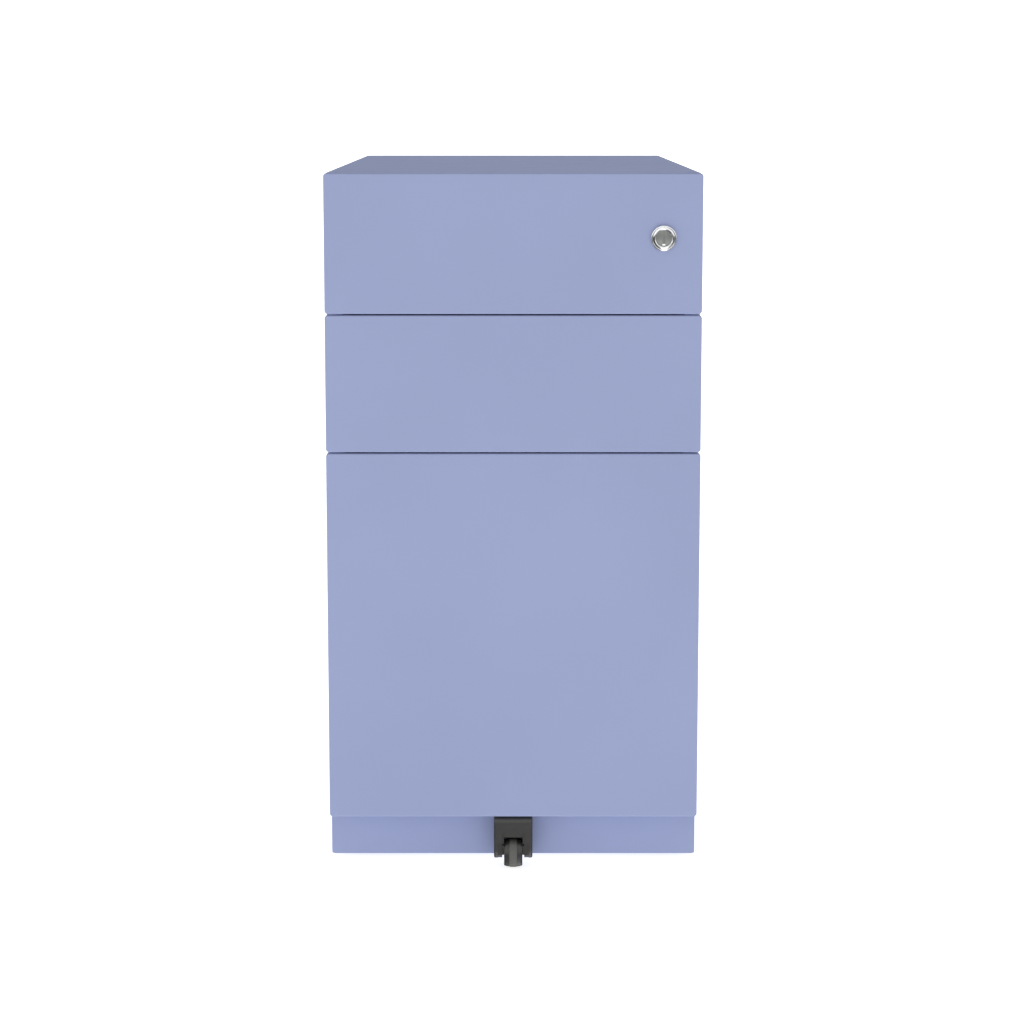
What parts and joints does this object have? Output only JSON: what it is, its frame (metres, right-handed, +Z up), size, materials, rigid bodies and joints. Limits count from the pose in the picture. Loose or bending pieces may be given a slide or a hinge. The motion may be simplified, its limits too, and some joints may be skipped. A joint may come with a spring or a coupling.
{
  "type": "bedside cabinet",
  "caption": "Slim steel pedestal cabinet on hidden twin-wheel castors: shallow lockable drawers over a deep filing drawer that carries an anti-tilt castor, all opened by recessed side grips.",
  "frame": {"origin": "on the floor under the middle of the whole object, lock included", "axes": "+Z up, -Y the way the drawer fronts face and the drawers open, +X to the right seen from the front"},
  "size_m": [0.3, 0.568, 0.569],
  "materials": {
    "blue_paint": "powder coat, satin with a fine orange-peel",
    "zinc": "zinc plated steel",
    "chrome": "polished chrome",
    "satin_steel": "satin nickel",
    "black_plastic": "moulded nylon, fine texture",
    "grey_tread": "dull moulded tread"
  },
  "bodies": {
    "carcase": {"outer_wrap": "blue_paint", "back_panel": "blue_paint", "base_panel": "blue_paint", "front_plinth": "blue_paint", "left_rear_upright": "blue_paint", "right_rear_upright": "blue_paint", "top_drawer_left_outer_slide": "zinc", "top_drawer_right_outer_slide": "zinc", "middle_drawer_left_outer_slide": "zinc", "middle_drawer_right_outer_slide": "zinc", "bottom_drawer_left_outer_slide": "zinc", "bottom_drawer_right_outer_slide": "zinc", "front_left_castor_plate": "zinc", "front_right_castor_plate": "zinc", "rear_left_castor_plate": "zinc", "rear_right_castor_plate": "zinc"},
    "locking_bar": {"locking_bar": "zinc"},
    "top_drawer": {"top_drawer_front_shell": "blue_paint", "top_drawer_front_liner": "blue_paint", "top_drawer_tray": "blue_paint", "top_drawer_back": "blue_paint", "top_drawer_left_inner_slide": "zinc", "top_drawer_right_inner_slide": "zinc", "lock_housing": "chrome", "lock_nut": "zinc"},
    "top_drawer_ball_cages": {"top_drawer_left_ball_cage": "zinc", "top_drawer_right_ball_cage": "zinc"},
    "middle_drawer": {"middle_drawer_front_shell": "blue_paint", "middle_drawer_front_liner": "blue_paint", "middle_drawer_tray": "blue_paint", "middle_drawer_back": "blue_paint", "middle_drawer_left_inner_slide": "zinc", "middle_drawer_right_inner_slide": "zinc", "middle_drawer_latch": "zinc"},
    "middle_drawer_ball_cages": {"middle_drawer_left_ball_cage": "zinc", "middle_drawer_right_ball_cage": "zinc"},
    "bottom_drawer": {"bottom_drawer_front_shell": "blue_paint", "bottom_drawer_front_liner": "blue_paint", "bottom_drawer_tray": "blue_paint", "bottom_drawer_back": "blue_paint", "bottom_drawer_left_inner_slide": "zinc", "bottom_drawer_right_inner_slide": "zinc", "bottom_drawer_latch": "zinc", "file_rail_front": "zinc", "file_rail_rear": "zinc", "fifth_castor_housing": "black_plastic", "fifth_castor_axle": "satin_steel"},
    "bottom_drawer_middle_slides": {"bottom_drawer_left_middle_slide": "zinc", "bottom_drawer_right_middle_slide": "zinc"},
    "lock": {"lock_plug": "satin_steel", "lock_cam": "zinc"},
    "fifth_wheel": {"fifth_castor_wheel": "grey_tread"},
    "front_left_castor_swivel": {"front_left_castor_fork": "black_plastic"},
    "front_left_castor_wheel_pair": {"front_left_castor_wheels": "black_plastic"},
    "front_right_castor_swivel": {"front_right_castor_fork": "black_plastic"},
    "front_right_castor_wheel_pair": {"front_right_castor_wheels": "black_plastic"},
    "rear_left_castor_swivel": {"rear_left_castor_fork": "black_plastic"},
    "rear_left_castor_wheel_pair": {"rear_left_castor_wheels": "black_plastic"},
    "rear_right_castor_swivel": {"rear_right_castor_fork": "black_plastic"},
    "rear_right_castor_wheel_pair": {"rear_right_castor_wheels": "black_plastic"}
  },
  "joints": [
    {"name": "top_drawer_slide", "type": "slide", "parent": "carcase", "child": "top_drawer", "axis": [0, -1, 0], "range_m": [0, 0.36]},
    {"name": "top_drawer_ball_cages_slide", "type": "slide", "parent": "carcase", "child": "top_drawer_ball_cages", "axis": [0, -1, 0], "range_m": [0, 0.18]},
    {"name": "middle_drawer_slide", "type": "slide", "parent": "carcase", "child": "middle_drawer", "axis": [0, -1, 0], "range_m": [0, 0.36]},
    {"name": "middle_drawer_ball_cages_slide", "type": "slide", "parent": "carcase", "child": "middle_drawer_ball_cages", "axis": [0, -1, 0], "range_m": [0, 0.18]},
    {"name": "bottom_drawer_slide", "type": "slide", "parent": "carcase", "child": "bottom_drawer", "axis": [0, -1, 0], "range_m": [0, 0.48]},
    {"name": "bottom_drawer_middle_slides_slide", "type": "slide", "parent": "carcase", "child": "bottom_drawer_middle_slides", "axis": [0, -1, 0], "range_m": [0, 0.24]},
    {"name": "lock_turn", "type": "hinge", "parent": "top_drawer", "child": "lock", "pos_m": [0.119, -0.27, 0.518], "axis": [0, -1, 0], "range_deg": [0, 90]},
    {"name": "locking_bar_lift", "type": "slide", "parent": "carcase", "child": "locking_bar", "axis": [0, 0, 1], "range_m": [0, 0.008]},
    {"name": "fifth_wheel_spin", "type": "hinge", "parent": "bottom_drawer", "child": "fifth_wheel", "pos_m": [0, -0.272, 0.0125], "axis": [1, 0, 0], "continuous": true},
    {"name": "front_left_castor_turn", "type": "hinge", "parent": "carcase", "child": "front_left_castor_swivel", "pos_m": [-0.108, -0.2035, 0.03], "axis": [0, 0, 1], "continuous": true},
    {"name": "front_left_castor_roll", "type": "hinge", "parent": "front_left_castor_swivel", "child": "front_left_castor_wheel_pair", "pos_m": [-0.108, -0.1915, 0.018], "axis": [1, 0, 0], "continuous": true},
    {"name": "front_right_castor_turn", "type": "hinge", "parent": "carcase", "child": "front_right_castor_swivel", "pos_m": [0.108, -0.2035, 0.03], "axis": [0, 0, 1], "continuous": true},
    {"name": "front_right_castor_roll", "type": "hinge", "parent": "front_right_castor_swivel", "child": "front_right_castor_wheel_pair", "pos_m": [0.108, -0.1915, 0.018], "axis": [1, 0, 0], "continuous": true},
    {"name": "rear_left_castor_turn", "type": "hinge", "parent": "carcase", "child": "rear_left_castor_swivel", "pos_m": [-0.108, 0.2285, 0.03], "axis": [0, 0, 1], "continuous": true},
    {"name": "rear_left_castor_roll", "type": "hinge", "parent": "rear_left_castor_swivel", "child": "rear_left_castor_wheel_pair", "pos_m": [-0.108, 0.2405, 0.018], "axis": [1, 0, 0], "continuous": true},
    {"name": "rear_right_castor_turn", "type": "hinge", "parent": "carcase", "child": "rear_right_castor_swivel", "pos_m": [0.108, 0.2285, 0.03], "axis": [0, 0, 1], "continuous": true},
    {"name": "rear_right_castor_roll", "type": "hinge", "parent": "rear_right_castor_swivel", "child": "rear_right_castor_wheel_pair", "pos_m": [0.108, 0.2405, 0.018], "axis": [1, 0, 0], "continuous": true}
  ],
  "couplings": [
    {"joint": "top_drawer_ball_cages_slide", "follows": "top_drawer_slide", "ratio": 0.5},
    {"joint": "middle_drawer_ball_cages_slide", "follows": "middle_drawer_slide", "ratio": 0.5},
    {"joint": "bottom_drawer_middle_slides_slide", "follows": "bottom_drawer_slide", "ratio": 0.5},
    {"joint": "lock_turn", "follows": "locking_bar_lift", "rad_per_m": 196.35}
  ]
}
